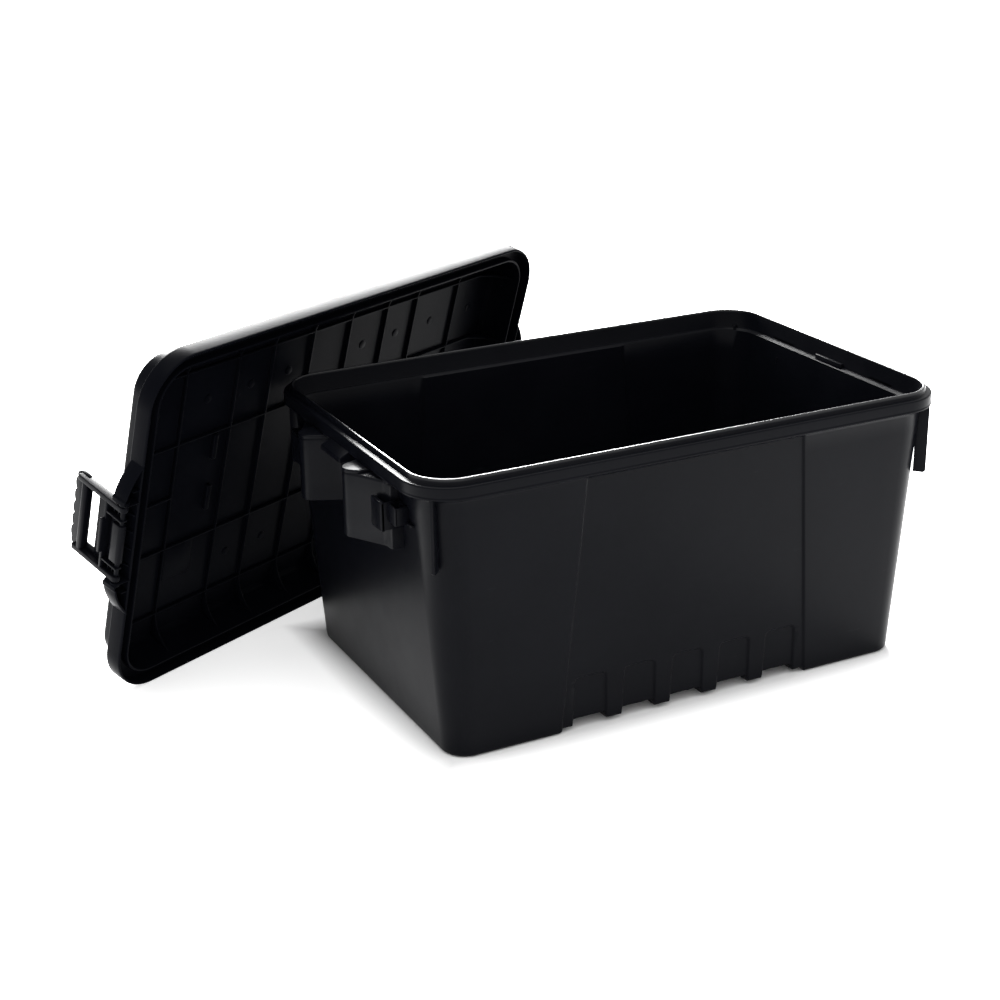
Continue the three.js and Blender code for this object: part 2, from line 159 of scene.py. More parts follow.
# ---- Plastics: dark and light colour, roughness, depth of the grain in metres, and shine
TUB_PLASTIC = ((0.0016, 0.0018, 0.003, 1), (0.0028, 0.0031, 0.0046, 1), 0.33, 0.00005, 0.085)
LID_PLASTIC = ((0.0012, 0.0014, 0.0024, 1), (0.0022, 0.0025, 0.0038, 1), 0.34, 0.00006, 0.02)
LATCH_PLASTIC = ((0.0018, 0.002, 0.003, 1), (0.0032, 0.0034, 0.0048, 1), 0.34, 0.00004, 0.05)
RUBBED_LIP = 0.2952


# ---------------------------------------------------------------- shader writing

class Value:
    """One output socket, so that shader maths reads as an expression."""

    def __init__(self, finish, socket):
        self.finish = finish
        self.socket = socket

    def _maths(self, operation, a, b):
        return self.finish.node("ShaderNodeMath", {"operation": operation}, {0: a, 1: b})

    def __add__(self, other):
        return self._maths("ADD", self, other)

    def __radd__(self, other):
        return self._maths("ADD", other, self)

    def __sub__(self, other):
        return self._maths("SUBTRACT", self, other)

    def __rsub__(self, other):
        return self._maths("SUBTRACT", other, self)

    def __mul__(self, other):
        return self._maths("MULTIPLY", self, other)

    def __rmul__(self, other):
        return self._maths("MULTIPLY", other, self)


class Finish:
    """A material that is built up node by node."""

    def __init__(self, name):
        self.material = bpy.data.materials.new(name)
        self.material.use_nodes = True
        self.tree = self.material.node_tree
        self.tree.nodes.clear()

    def node(self, kind, settings=None, values=None, output=0):
        """Adds a node: its settings first, then the values or links of its sockets."""
        made = self.tree.nodes.new(kind)
        for key, setting in (settings or {}).items():
            if key == "stops":
                for element, (place, colour) in zip(made.color_ramp.elements, setting):
                    element.position = place
                    element.color = colour
            else:
                setattr(made, key, setting)
        for key, value in (values or {}).items():
            if isinstance(value, Value):
                self.tree.links.new(value.socket, made.inputs[key])
            else:
                made.inputs[key].default_value = value
        return Value(self, made.outputs[output])

    def noise(self, place, scale, detail=3.0, rough=0.5):
        values = {"Vector": place, "Scale": scale, "Detail": detail, "Roughness": rough}
        return self.node("ShaderNodeTexNoise", None, values)

    def ramp(self, value, low, high):
        """Black up to low, white from high."""
        stops = [(low, (0, 0, 0, 1)), (high, (1, 1, 1, 1))]
        return self.node("ShaderNodeValToRGB", {"stops": stops}, {0: value})

    def blend(self, factor, first, second):
        values = {0: factor, 6: first, 7: second}
        return self.node("ShaderNodeMix", {"data_type": "RGBA"}, values, 2)

    def done(self, surface):
        out = self.tree.nodes.new("ShaderNodeOutputMaterial")
        self.tree.links.new(surface.socket, out.inputs["Surface"])
        return self.material


def moulded_plastic(name, dark, light, roughness, grain_depth, shine, rubbed=None):
    """Satin black plastic: a fine spark-eroded grain, cloudy gloss, and faint scuffs.

    Above the height rubbed, in metres, use has polished it.
    """
    f = Finish(name)
    place = f.node("ShaderNodeTexCoord", output="Object")
    cloud = f.noise(place, 9.0, 5.0, 0.6)
    patch = f.noise(place, 42.0, 4.0, 0.6)
    grain = f.noise(place, 1700.0, 2.0, 0.6)
    pits = f.node("ShaderNodeTexVoronoi", {"feature": "F1"}, {"Vector": place, "Scale": 1300.0})
    stretch = {"Vector": place, "Rotation": (0.4, 0.3, 0.6), "Scale": (18.0, 260.0, 160.0)}
    long_way = f.node("ShaderNodeMapping", None, stretch)
    scratch = f.ramp(f.noise(long_way, 1.0, 5.0, 0.7), 0.66, 0.73)
    scuff = scratch * f.ramp(patch, 0.45, 0.62)
    height = grain * 0.55 + pits * 0.35 - scuff * 0.35 + patch * 0.3
    normal = f.node("ShaderNodeBump", None, {"Height": height, "Strength": 0.5, "Distance": grain_depth})
    gloss = (cloud - 0.5) * 0.16 + (patch - 0.5) * 0.07 + scuff * 0.12 + roughness
    colour = f.blend(f.ramp(cloud, 0.3, 0.75), dark, light)
    colour = f.blend(scuff * 0.35, colour, (0.022, 0.023, 0.027, 1))
    values = {"Base Color": colour, "Roughness": gloss, "Normal": normal}
    values.update({"IOR": 1.4, "Specular IOR Level": shine})
    if rubbed:
        up = f.node("ShaderNodeSeparateXYZ", None, {0: place}, 2)
        worn = f.ramp((up - rubbed) * 600 + (patch - 0.5) * 0.3, 0.0, 1.0)
        values.update({"Coat Weight": worn * 0.8, "Coat Roughness": 0.22})
    return f.done(f.node("ShaderNodeBsdfPrincipled", None, values))


def pale_floor():
    """A pale table that glows, except for a painted contact shadow: no glow under the tub, fading in to full
    glow 35 mm past its base, so that the feet stand on a dark line.
    """
    f = Finish("pale_floor")
    place = f.node("ShaderNodeTexCoord", output="Object")
    past = []
    for axis in (0, 1):
        along = f.node("ShaderNodeSeparateXYZ", None, {0: place}, axis)
        past.append(f.node("ShaderNodeMath", {"operation": "ABSOLUTE"}, {0: along}) - BASE[axis] / 1000)
    outside = f.node("ShaderNodeMath", {"operation": "MAXIMUM"}, {0: past[0], 1: past[1]})
    # Painted contact shadow: the glow is black over the tub's footprint and full from GLOW_FULL past it.
    glow_past_painted_shadow = f.ramp(outside * 1000 * (1 / GLOW_FULL), 0.0, 1.0)
    colour = f.blend(f.noise(place, 3.0), (0.86, 0.86, 0.86, 1), (0.89, 0.89, 0.89, 1))
    glow = {"Emission Color": f.blend(glow_past_painted_shadow, (0, 0, 0, 1), (1, 1, 1, 1)), "Emission Strength": 0.55}
    return f.done(f.node("ShaderNodeBsdfPrincipled", None, {"Base Color": colour, "Roughness": 0.9, **glow}))


# ---------------------------------------------------------------- mesh making

def piece(name, bm, material, body, place=None):
    """Turns millimetre mesh work into an object that rides on a body."""
    bmesh.ops.remove_doubles(bm, verts=bm.verts, dist=0.001)
    bmesh.ops.recalc_face_normals(bm, faces=bm.faces)
    bmesh.ops.scale(bm, vec=(0.001, 0.001, 0.001), verts=bm.verts)
    mesh = bpy.data.meshes.new(name)
    bm.to_mesh(mesh)
    bm.free()
    mesh.shade_smooth()
    mesh.set_sharp_from_angle(angle=math.radians(38))
    mesh.materials.append(material)
    if place:
        mesh.transform(place)
    made = bpy.data.objects.new(name, mesh)
    bpy.context.scene.collection.objects.link(made)
    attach(made, body)
    return made


def lattice(bm, rows):
    """A closed skin through rings of equal point count, with a flat face on the first and the last."""
    rings = [[bm.verts.new(point) for point in row] for row in rows]
    count = len(rings[0])
    for low, high in zip(rings, rings[1:]):
        for i in range(count):
            j = (i + 1) % count
            bm.faces.new((low[i], low[j], high[j], high[i]))
    bm.faces.new(reversed(rings[0]))
    bm.faces.new(rings[-1])


def soften(bm, faces, width, steps=2):
    """Rounds the sharp edges of newly made faces."""
    edges = {e for f in faces for e in f.edges}
    sharp = [e for e in edges if e.calc_face_angle(0) > math.radians(35)]
    shape = {"offset": width, "segments": steps, "profile": 0.5, "affect": "EDGES"}
    bmesh.ops.bevel(bm, geom=sharp, clamp_overlap=True, **shape)


def prism(bm, outline, low, high, width=0.5, turn=None, steps=2):
    """A flat outline drawn between two heights, with its edges rounded, and then turned."""
    work = bmesh.new()
    base = [work.verts.new((x, y, low)) for x, y in outline]
    top = [work.verts.new((x, y, high)) for x, y in outline]
    faces = [work.faces.new(list(reversed(base))), work.faces.new(top)]
    for i in range(len(outline)):
        j = (i + 1) % len(outline)
        faces.append(work.faces.new((base[i], base[j], top[j], top[i])))
    bmesh.ops.recalc_face_normals(work, faces=work.faces)
    soften(work, faces, width, steps)
    if turn:
        bmesh.ops.transform(work, matrix=turn, verts=work.verts)
    kept = bpy.data.meshes.new("kept")
    work.to_mesh(kept)
    work.free()
    bm.from_mesh(kept)
    bpy.data.meshes.remove(kept)


def slab(bm, x0, x1, y0, y1, z0, z1, width=0.5, steps=2):
    outline = [(x0, y0), (x1, y0), (x1, y1), (x0, y1)]
    prism(bm, outline, min(z0, z1), max(z0, z1), width, None, steps)


def arc(cx, cy, radius, start, stop, steps=6):
    """Points of an arc, in degrees."""
    angles = [math.radians(start + (stop - start) * i / steps) for i in range(steps + 1)]
    return [(cx + radius * math.cos(a), cy + radius * math.sin(a)) for a in angles]


def curve(start, bend, stop, first, steps):
    """Points from one place to another, drawn towards a bend between them."""
    points = []
    for i in range(first, steps + 1):
        t = i / steps
        points.append(tuple(start * (1 - t) ** 2 + bend * 2 * t * (1 - t) + stop * t * t))
    return points


def disc(cx, cy, radius):
    """A round outline."""
    return arc(cx, cy, radius, 0, 345, 23)


STAND_ALONG_Y = Matrix(((1, 0, 0, 0), (0, 0, 1, 0), (0, 1, 0, 0), (0, 0, 0, 1)))
STAND_ALONG_X = Matrix(((0, 0, 1, 0), (1, 0, 0, 0), (0, 1, 0, 0), (0, 0, 0, 1)))


def flip(sx, sy):
    """Turns a piece drawn at the rear right into one at the left, the front or both."""
    return Matrix.Diagonal((sx, sy, 1, 1))


# ---------------------------------------------------------------- panel, pockets and uprights

def soft_step(distance):
    """From 0 outside an edge to 1 inside, smoothly."""
    t = min(1.0, max(0.0, 0.5 + 0.5 * distance / EDGE_SOFT))
    return t * t * (3 - 2 * t)


def panel_edge(z):
    """The panel's half width at a height: it narrows upwards."""
    return PANEL_LOW + (PANEL_HIGH - PANEL_LOW) * z / BAND_LOW


def pocket_depth_in(x, z, centre, grow):
    """How far a point is inside a pocket's outline, which has its top corners rounded."""
    share = (z - POCKET_LIFT) / (POCKET_TOP - POCKET_LIFT)
    half = POCKET_HALF_LOW + (POCKET_HALF_HIGH - POCKET_HALF_LOW) * share
    across = half + grow - abs(x - centre)
    below = POCKET_TOP + grow - z
    corner = POCKET_CORNER + grow
    if across < corner and below < corner:
        return corner - math.hypot(corner - across, corner - below)
    return min(across, below)


def relief(x, z, grow):
    """How far the panel and its pockets sit back from the drafted wall."""
    depth = PANEL_DEPTH * soft_step(panel_edge(z) + grow - abs(x))
    for centre in POCKET_PLACES:
        depth += POCKET_DEPTH * soft_step(pocket_depth_in(x, z, centre, grow))
    return depth


def lift(x, grow):
    """How far the panel's lower edge stands off the floor."""
    up = PANEL_LIFT * soft_step(PANEL_LOW + grow - abs(x))
    for centre in POCKET_PLACES:
        up += (POCKET_LIFT - PANEL_LIFT) * soft_step(POCKET_HALF_LOW + grow - abs(x - centre))
    return up


def side_stations():
    """Places along a long side: close together at the panel's and the pockets' edges."""
    past = PANEL_LOW + 14
    places = {0.0, PANEL_LOW + 6, past}
    places.update(PANEL_LOW + step for step in (-4.5, -2.2, -1.4, -0.7, 0, 0.7, 1.4, 2.2))
    places.update(past + (STRAIGHT_RUN - past) * i / 5 for i in range(1, 6))
    steps = (-3, -2, -1.2, -0.5, 0.2, 0.9, 1.6, 2.4, 3.6, 5, 7)
    for centre in POCKET_PLACES[2:]:
        for edge in (centre - POCKET_HALF_LOW, centre + POCKET_HALF_LOW):
            inward = 1 if edge < centre else -1
            places.update(edge + step * inward for step in steps)
        places.update((centre + 6, centre - 6))
    right = sorted(p for p in places if p >= 0)
    return [-p for p in reversed(right) if p > 0] + right


def columns(stations, end_steps=6, corner_steps=10):
    """Where the uprights of a round-cornered skin stand, anticlockwise from the front left."""
    ends = [-1 + 2 * i / end_steps for i in range(1, end_steps)]
    found = [("long", 1, -1, p) for p in stations]
    found += [("corner", 1, -1, -90 + 90 * i / corner_steps) for i in range(1, corner_steps + 1)]
    found += [("end", 1, 1, t) for t in ends]
    found += [("corner", 1, 1, 90 * i / corner_steps) for i in range(corner_steps)]
    found += [("long", 1, 1, p) for p in reversed(stations)]
    found += [("corner", -1, 1, 90 + 90 * i / corner_steps) for i in range(1, corner_steps + 1)]
    found += [("end", -1, 1, -t) for t in ends]
    found += [("corner", -1, -1, 180 + 90 * i / corner_steps) for i in range(corner_steps)]
    return found


def spot(column, outline, inset, along):
    """Where an upright meets an outline that is moved inward.

    The function along turns a station on a long side into a place.
    """
    kind, sx, sy, t = column
    half_length, half_width, corner = outline
    radius = max(corner - inset, 2.0)
    run_x = half_length - inset - radius
    run_y = half_width - inset - radius
    if kind == "long":
        return Vector((along(t, run_x), sy * (half_width - inset)))
    if kind == "end":
        return Vector((sx * (half_length - inset), t * run_y))
    angle = math.radians(t)
    return Vector((sx * run_x + radius * math.cos(angle), sy * run_y + radius * math.sin(angle)))


# ---------------------------------------------------------------- tub

def wall_outline(z):
    """The drafted wall's half length, half width and corner at a height."""
    share = z / TUB_HEIGHT
    return tuple(b + (l - SHOULDER_REACH - b) * share for b, l in zip(BASE, LIP))


def tub_along(z):
    """Stations keep their place near the middle, and follow the panel's slanted edges further out."""
    edge = panel_edge(z)

    def along(p, run):
        x = abs(p)
        if x > PANEL_LOW:
            x = edge + (x - PANEL_LOW) * (run - edge) / (STRAIGHT_RUN - PANEL_LOW)
        elif x > FIXED_RUN:
            x = FIXED_RUN + (x - FIXED_RUN) * (edge - FIXED_RUN) / (PANEL_LOW - FIXED_RUN)
        return math.copysign(x, p)

    return along


def wall_row(uprights, inset, height, inner=False):
    """One ring of the drafted wall. Near the floor, heights count from the lifted lower edge."""
    grow = WALL if inner else 0.0
    row = []
    for column in uprights:
        z = height
        side = column[0] == "long"
        if side:
            low = lift(column[3], grow)
            if height < LIFT_FADES_OUTSIDE:
                z = low + height * (LIFT_FADES_OUTSIDE - low) / LIFT_FADES_OUTSIDE
            if inner and height < LIFT_FADES_INSIDE:
                room = LIFT_FADES_INSIDE - FLOOR
                z = FLOOR + low + (height - FLOOR) * (room - low) / room
        at = spot(column, wall_outline(z), inset, tub_along(z))
        if side:
            at.y -= column[2] * relief(at.x, max(z, POCKET_LIFT), grow)
        row.append((at.x, at.y, z))
    return row


def flat_row(uprights, inset, height, share, inner=False):
    """One ring of the underside or the floor. share is how much of the lifted edge it follows."""
    row = []
    for column in uprights:
        z = height
        at = spot(column, wall_outline(0.0), inset, tub_along(0.0))
        if column[0] == "long":
            z += share * lift(column[3], WALL if inner else 0.0)
        row.append((at.x, at.y, z))
    return row


def rim_row(uprights, reach, height):
    """One ring of the rim, at a reach outside the lip."""
    return [(*spot(c, LIP, -reach, tub_along(height)), height) for c in uprights]


def tub_shell():
    """The tub's one skin, from its underside up the outside, over the rim and down the inside."""
    uprights = columns(side_stations())
    underside = [(70, 0), (25, 0), (24, 0), (22.6, 1), (8, 1)]
    rows = [flat_row(uprights, inset, 0.0, share) for inset, share in underside]
    edge = [(4.0, 0.0), (2.3, 0.35), (1.2, 1.2), (0.35, 2.3), (0.0, 4.0), (0.0, 8.0)]
    rows += [wall_row(uprights, inset, z) for inset, z in edge]
    heights = [13, 20, 30, 40, 48, 51, 53, 54.4, 55.6, 56.6, 57.4, 58.2, 59, 60.2, 64]
    heights += [80, 120, 170, 220, 255, 272]
    rows += [wall_row(uprights, 0.0, z) for z in heights]
    rim = [
        (-2.3, 274.6), (-1.2, 275.6), (-0.6, 276.6), (-0.2, 287.4), (0.5, 288.3), (1.5, 288.5),
        (3.4, 288.5), (4.3, 288.0), (4.5, 287.0), (4.5, 280.0), (4.8, 279.3), (5.4, 279.0),
        (6.9, 279.0), (7.4, 279.3), (7.6, 279.9), (7.5, 280.7), (7.1, 281.3), (7.0, 282.0),
        (7.0, 290.2), (6.8, 291.2), (6.2, 291.8), (5.2, 292.0), (2.1, 292.0), (1.3, 292.3),
        (0.9, 293.0), (0.55, 295.2), (0.25, 296.4), (-0.25, 297.3), (-0.9, 297.85), (-1.6, 298.0),
        (-2.4, 297.95), (-2.85, 297.6), (-3.0, 297.1), (-3.0, 277.4), (-3.3, 276.7), (-4.0, 276.5),
        (-4.9, 276.4), (-5.4, 275.9),
    ]
    rows += [rim_row(uprights, reach, z) for reach, z in rim]
    heights = [274, 250, 200, 150, 100, 75, 64, 62, 61, 60, 58, 55, 45, 35, 26]
    rows += [wall_row(uprights, WALL, z, True) for z in heights]
    fillet = [(3.0, 12.0), (3.7, 8.8), (5.4, 6.3), (7.9, 4.7), (11.0, 4.0)]
    rows += [wall_row(uprights, inset, z, True) for inset, z in fillet]
    floor = [(25.6, 1), (27.4, 0), (28.4, 0), (70, 0)]
    rows += [flat_row(uprights, inset, FLOOR, share, True) for inset, share in floor]
    bm = bmesh.new()
    lattice(bm, rows)
    return bm


def corner_fin(sx, sy):
    """A thin gusset across a corner, under the rim band."""
    reach = LIP[2] + BAND_REACH - 0.8
    low = BAND_LOW - FIN_HEIGHT
    outline = [(FIN_ROOT, low), (reach - FIN_FOOT, low)]
    outline += arc(reach - FIN_FOOT, low + FIN_FOOT, FIN_FOOT, -90, 0)
    outline += [(reach, FIN_TOP), (FIN_ROOT, FIN_TOP)]
    centre = Matrix.Translation((*CORNER, 0))
    stand = flip(sx, sy) @ centre @ Matrix.Rotation(math.radians(45), 4, "Z") @ STAND_ALONG_Y
    bm = bmesh.new()
    prism(bm, outline, -FIN_HALF, FIN_HALF, 0.6, stand, 3)
    return bm


def bracket_plan(z, inset):
    """Plan of a bracket: from the wall out along the pocket, round the nose and back along the wing."""
    wall = wall_outline(z)[0] - 1.6
    face = LIP[0]
    near = POCKET_SIDE + inset
    cheek = [(wall, near - 17), (face - 5, near - 13.5), (face + 4, near - 9.5), (face + 12, near - 5.5)]
    middle = face + BRACKET_REACH - BRACKET_NOSE
    nose = arc(middle, near + 9.5 - inset, BRACKET_NOSE - inset, -65, 32, 9)
    start = Vector(nose[-1])
    bend = Vector((face + 14.6 - inset, near + 34))
    stop = Vector((face + 4.0 - inset, near + 54 - 2 * inset))
    wing = curve(start, bend, stop, 1, 10)
    tail = [(face + 3.6 - inset, near + 62 - 2 * inset), (face + 2.4 - inset, near + 65 - 2 * inset)]
    return cheek + nose + wing + tail + [(wall, near + 66 - 2 * inset)]


def bracket(sx, sy):
    """A hollow bracket, open below, with a rolled cap on its nose that joins it to the rim band."""
    levels = [(BRACKET_SKIN, BRACKET_LOW + 0.4), (1.4, BRACKET_LOW - 0.1)]
    levels += [(0.5, BRACKET_LOW + 0.1), (0.0, BRACKET_LOW + 1.0)]
    levels += [(0.0, 230.0), (0.0, 255.0), (0.0, 272.6), (0.3, 273.8), (1.0, 274.8), (2.4, 275.4)]
    inner = [(BRACKET_SKIN, 255.0), (BRACKET_SKIN, 271.0), (5.0, 272.4)]
    outside = [[(x, y, z) for x, y in bracket_plan(z, inset)] for inset, z in levels]
    inside = [[(x, y, z) for x, y in bracket_plan(z, inset)] for inset, z in reversed(inner)]
    bm = bmesh.new()
    lattice(bm, inside + outside)
    face = LIP[0]
    nose = arc(face + BRACKET_REACH - BRACKET_NOSE, POCKET_SIDE + 9.5, BRACKET_NOSE, -72, 36, 10)
    back = [(face + 18.5, POCKET_SIDE + 24), (face - 3, POCKET_SIDE + 26)]
    prism(bm, [(face - 3, POCKET_SIDE - 12)] + nose + back, CAP_LOW, CAP_HIGH, 1.0, None, 4)
    wing_cap = [(face - 3, 70), (face + 6, 70), (face + 4, 108), (face - 3, 110)]
    prism(bm, wing_cap, 273.0, 280.0, 0.6)
    bmesh.ops.transform(bm, matrix=flip(sx, sy), verts=bm.verts)
    return bm


def strap_eye(sx, sy):
    """A plate that stands off on two webs, with a padlock loop and a small fin beside it."""
    bm = bmesh.new()
    face = LIP[0] + EYE_REACH
    skin = FITTING_SKIN
    slab(bm, face - 1.0, face + 3.1, EYE_NEAR, EYE_FAR, EYE_LOW, EYE_HIGH, 1.0, 3)
    slab(bm, 285.5, face + 2.4, EYE_NEAR, EYE_NEAR + skin, EYE_LOW + 1, EYE_HIGH - 1, 0.6)
    slab(bm, 286.5, face + 2.4, EYE_FAR - skin, EYE_FAR, EYE_LOW + 1, EYE_HIGH - 1, 0.6)
    loop = LIP[0] + LOOP_REACH
    slab(bm, loop - skin, loop, EYE_FAR - 2.4, LOOP_FAR, LOOP_LOW, LOOP_HIGH, 0.8, 3)
    slab(bm, 287.0, loop - 0.4, LOOP_FAR - skin, LOOP_FAR, LOOP_LOW, LOOP_HIGH, 0.7)
    slab(bm, 287.0, 292.0, EYE_FAR - 1, LOOP_FAR - 1, LOOP_LOW, LOOP_HIGH, 0.5)
    slab(bm, 286.6, 291.4, LOOP_FAR - 1, LOOP_FAR + 10, LOOP_LOW + 0.5, LOOP_LOW + 2.6, 0.5)
    bmesh.ops.transform(bm, matrix=flip(sx, sy), verts=bm.verts)
    return bm


def latch_ledge(sx):
    """The ledge that a latch's hook pulls up under, with three webs below it."""
    face = LIP[0]
    edge = face + LEDGE_REACH
    stand = flip(sx, 1) @ STAND_ALONG_Y
    outline = [(288.0, LEDGE_LOW), (edge, LEDGE_LOW), (edge, LEDGE_LOW + 5)]
    outline += [(face + BAND_REACH, LEDGE_HIGH), (289.0, LEDGE_HIGH)]
    bm = bmesh.new()
    prism(bm, outline, -LEDGE_HALF, LEDGE_HALF, 0.8, stand, 3)
    web = [(287.0, LEDGE_LOW - 9), (face + 1, LEDGE_LOW - 1)]
    web += [(face + 8, LEDGE_LOW + 1), (288.0, LEDGE_LOW + 1)]
    for y in (-14.0, 0.0, 14.0):
        prism(bm, web, y - 1.0, y + 1.0, 0.4, stand)
    return bm


# ---------------------------------------------------------------- lid, drawn closed

def lid_row(uprights, inset, z):
    """One ring of the lid, at an inset from its skirt."""
    return [(*spot(c, LID, inset, lambda p, run: p * run / STRAIGHT_RUN), z) for c in uprights]


def lid_shell():
    """The lid's one skin: top panel, domed edge, skirt, seat, tongue and the panel's underside."""
    uprights = columns([STRAIGHT_RUN * (-1 + 2 * i / 16) for i in range(17)], 10, 14)
    profile = [
        (60, 45.0), (44.4, 45.0), (43.4, 45.2), (42.0, 45.9), (41.2, 46.0), (23.2, 46.0), (21.2, 45.6),
        (19.4, 44.4), (18.3, 42.6), (17.7, 40.4), (14.5, 24.0), (14.1, 22.4), (13.2, 21.0), (12.0, 20.4),
        (10.6, 20.0), (2.6, 20.0), (1.2, 19.8), (0.4, 19.1), (0.15, 18.0), (0.0, 2.2), (0.3, 0.9),
        (0.9, 0.2), (1.4, 0.0), (1.8, 0.1), (2.3, 0.6), (2.5, 1.4), (2.5, 13.2), (2.9, 13.8),
        (3.6, 14.0), (13.4, 14.0), (14.2, 13.7), (14.5, 13.0), (14.5, 5.2), (14.7, 4.4), (15.3, 4.0),
        (16.2, 4.0), (16.8, 4.4), (17.0, 5.2), (17.4, 22.0), (20.0, 37.0), (20.9, 40.2), (22.6, 42.2),
        (25.0, 43.0), (60, 43.0),
    ]
    bm = bmesh.new()
    lattice(bm, [lid_row(uprights, inset, z) for inset, z in profile])
    return bm


def rib_outline(half, first=None):
    """Side view of a rib: level over the panel, with ends that sweep along the tongue.

    With first, the rib starts there and has only its right end.
    """
    far = half - TONGUE_BACK
    start = Vector((far, RIB_CREST))
    bend = Vector((far - 0.2 * RIB_RUN, RIB_EDGE - 6))
    stop = Vector((far - RIB_RUN, RIB_EDGE))
    sweep = curve(start, bend, stop, 0, 8)
    back = [(half - 16.0, 21.0), (half - 19.0, 38.0), (half - 22.5, 43.6)]
    right = list(reversed(back)) + sweep
    if first is not None:
        return right + [(first, RIB_EDGE), (first, 44.0)]
    return right + [(-x, z) for x, z in reversed(right)]


def long_rib(y):
    bm = bmesh.new()
    prism(bm, rib_outline(LID[0]), y - RIB_HALF, y + RIB_HALF, 0.5, STAND_ALONG_Y)
    return bm


def cross_rib(x):
    bm = bmesh.new()
    prism(bm, rib_outline(LID[1]), x - RIB_HALF, x + RIB_HALF, 0.5, STAND_ALONG_X)
    return bm


def bracing_rib(sx):
    """A short rib from the last cross rib to the tongue, between a latch's ears."""
    bm = bmesh.new()
    stand = flip(sx, 1) @ STAND_ALONG_Y
    prism(bm, rib_outline(LID[0], CROSS_RIBS[-1]), -RIB_HALF, RIB_HALF, 0.5, stand)
    return bm


def lid_bosses():
    """Short thick ribs, ejector pads and the moulding gate on the panel's underside."""
    bm = bmesh.new()
    top = PANEL_UNDERSIDE
    for sx in (-1, 1):
        left, right = sorted((sx * 160, sx * 166))
        for low, high in ((-60.5, -30.5), (2.0, 32.5)):
            slab(bm, left, right, low, high, 38.0, top, 1.2, 3)
        left, right = sorted((sx * 174, sx * 214))
        slab(bm, left, right, 66.0, 108.0, 41.4, top, 1.2, 3)
        for y in (-106.0, 106.0):
            for x in (60.0, 117.0, 180.0, 252.0):
                prism(bm, disc(sx * x, y, 5.0), 42.3, top, 0.4)
    prism(bm, disc(0, 0, 8.0), 41.6, top, 0.6)
    return bm


def ear(sx, sy):
    """A latch ear: a sloping shell, open towards the rim, with a boss for the latch's pin."""
    face = LID[0]
    near = LATCH_HALF + EAR_GAP

    def plan(inset):
        tip = face + EAR_REACH - inset
        horn = arc(tip - EAR_TIP, near + 6.4, EAR_TIP, 0, 75, 4)
        start = [(face - 2.2, near + inset), (tip - 3.0, near + inset), (tip, near + 2.6 + inset)]
        slope = [(16.6, 14.0), (14.2, 20.0), (11.2, 26.0), (7.6, 32.0), (3.4, 38.0)]
        back = [(face + x - inset, near + y - 0.8 * inset) for x, y in slope]
        return start + horn + back + [(face - 2.2, near + EAR_ROOT - 2 * inset)]

    levels = [(1.0, 18.0), (0.35, 17.6), (0.0, 16.6), (0.0, 0.9), (0.3, 0.3), (0.8, 0.0)]
    levels += [(1.3, 0.0), (1.7, 0.4), (1.8, 1.0), (1.8, 13.6), (2.2, 14.2)]
    bm = bmesh.new()
    lattice(bm, [[(x, y, z) for x, y in plan(inset)] for inset, z in levels])
    collar = disc(face + PIVOT_REACH, PIVOT_HEIGHT, COLLAR_RADIUS)
    prism(bm, collar, near + 0.2, near + 4.4, 0.5, STAND_ALONG_Y)
    slab(bm, face - 1.0, face + 8.0, near + 14.0, near + 15.6, 1.2, 16.0, 0.4)
    bmesh.ops.transform(bm, matrix=flip(sx, sy), verts=bm.verts)
    return bm


def latch_shelf(sx):
    """The shelf on the skirt between a pair of ears, with small ribs under it."""
    face = LID[0]
    bm = bmesh.new()
    slab(bm, face - 1.0, face + 6.5, -45.5, 45.5, 15.2, 17.4, 0.7, 3)
    for y in (-30.0, -10.0, 10.0, 30.0):
        outline = [(face - 1, 2.5), (face + 1.2, 2.5), (face + 5.6, 16.0), (face - 1, 16.0)]
        prism(bm, outline, y - 0.9, y + 0.9, 0.4, STAND_ALONG_Y)
    bmesh.ops.transform(bm, matrix=flip(sx, 1), verts=bm.verts)
    return bm


# ---------------------------------------------------------------- latch, drawn hanging closed

def grip_outline():
    """The finger grip's outline in y and z: round corners, and scallops along its free edge."""
    half = LATCH_HALF + 1.0
    left = [(-half + 3, GRIP_TOP - 0.5), (-half, GRIP_TOP - 5)]
    left += arc(-half + GRIP_CORNER, -LATCH_LENGTH + 10, GRIP_CORNER, 180, 255, 6)
    points = list(left)
    count = 60
    for i in range(count + 1):
        along = -1 + 2 * i / count
        wave = SCALLOP_DEPTH * abs(math.sin(math.pi * SCALLOPS * i / count)) ** 0.7
        points.append((along * (half - GRIP_CORNER), -LATCH_LENGTH + 2.4 - wave))
    return points + [(-y, z) for y, z in reversed(left)]


def latch_grip():
    """The scalloped plate that the fingers pull, with the rounded ridge on its inner side."""
    bm = bmesh.new()
    prism(bm, grip_outline(), 1.1, LATCH_DEEP, 0.7, STAND_ALONG_X, 3)
    low = GRIP_TOP - RIDGE_WIDTH
    ridge = [(3.0, GRIP_TOP)] + arc(-2.4, GRIP_TOP - RIDGE_ROUND, RIDGE_ROUND, 90, 180, 5)
    ridge += arc(-2.4, low + RIDGE_ROUND, RIDGE_ROUND, 180, 270, 5) + [(3.0, low)]
    prism(bm, ridge, -LATCH_HALF + 5, LATCH_HALF - 5, 0.5, STAND_ALONG_Y)
    return bm


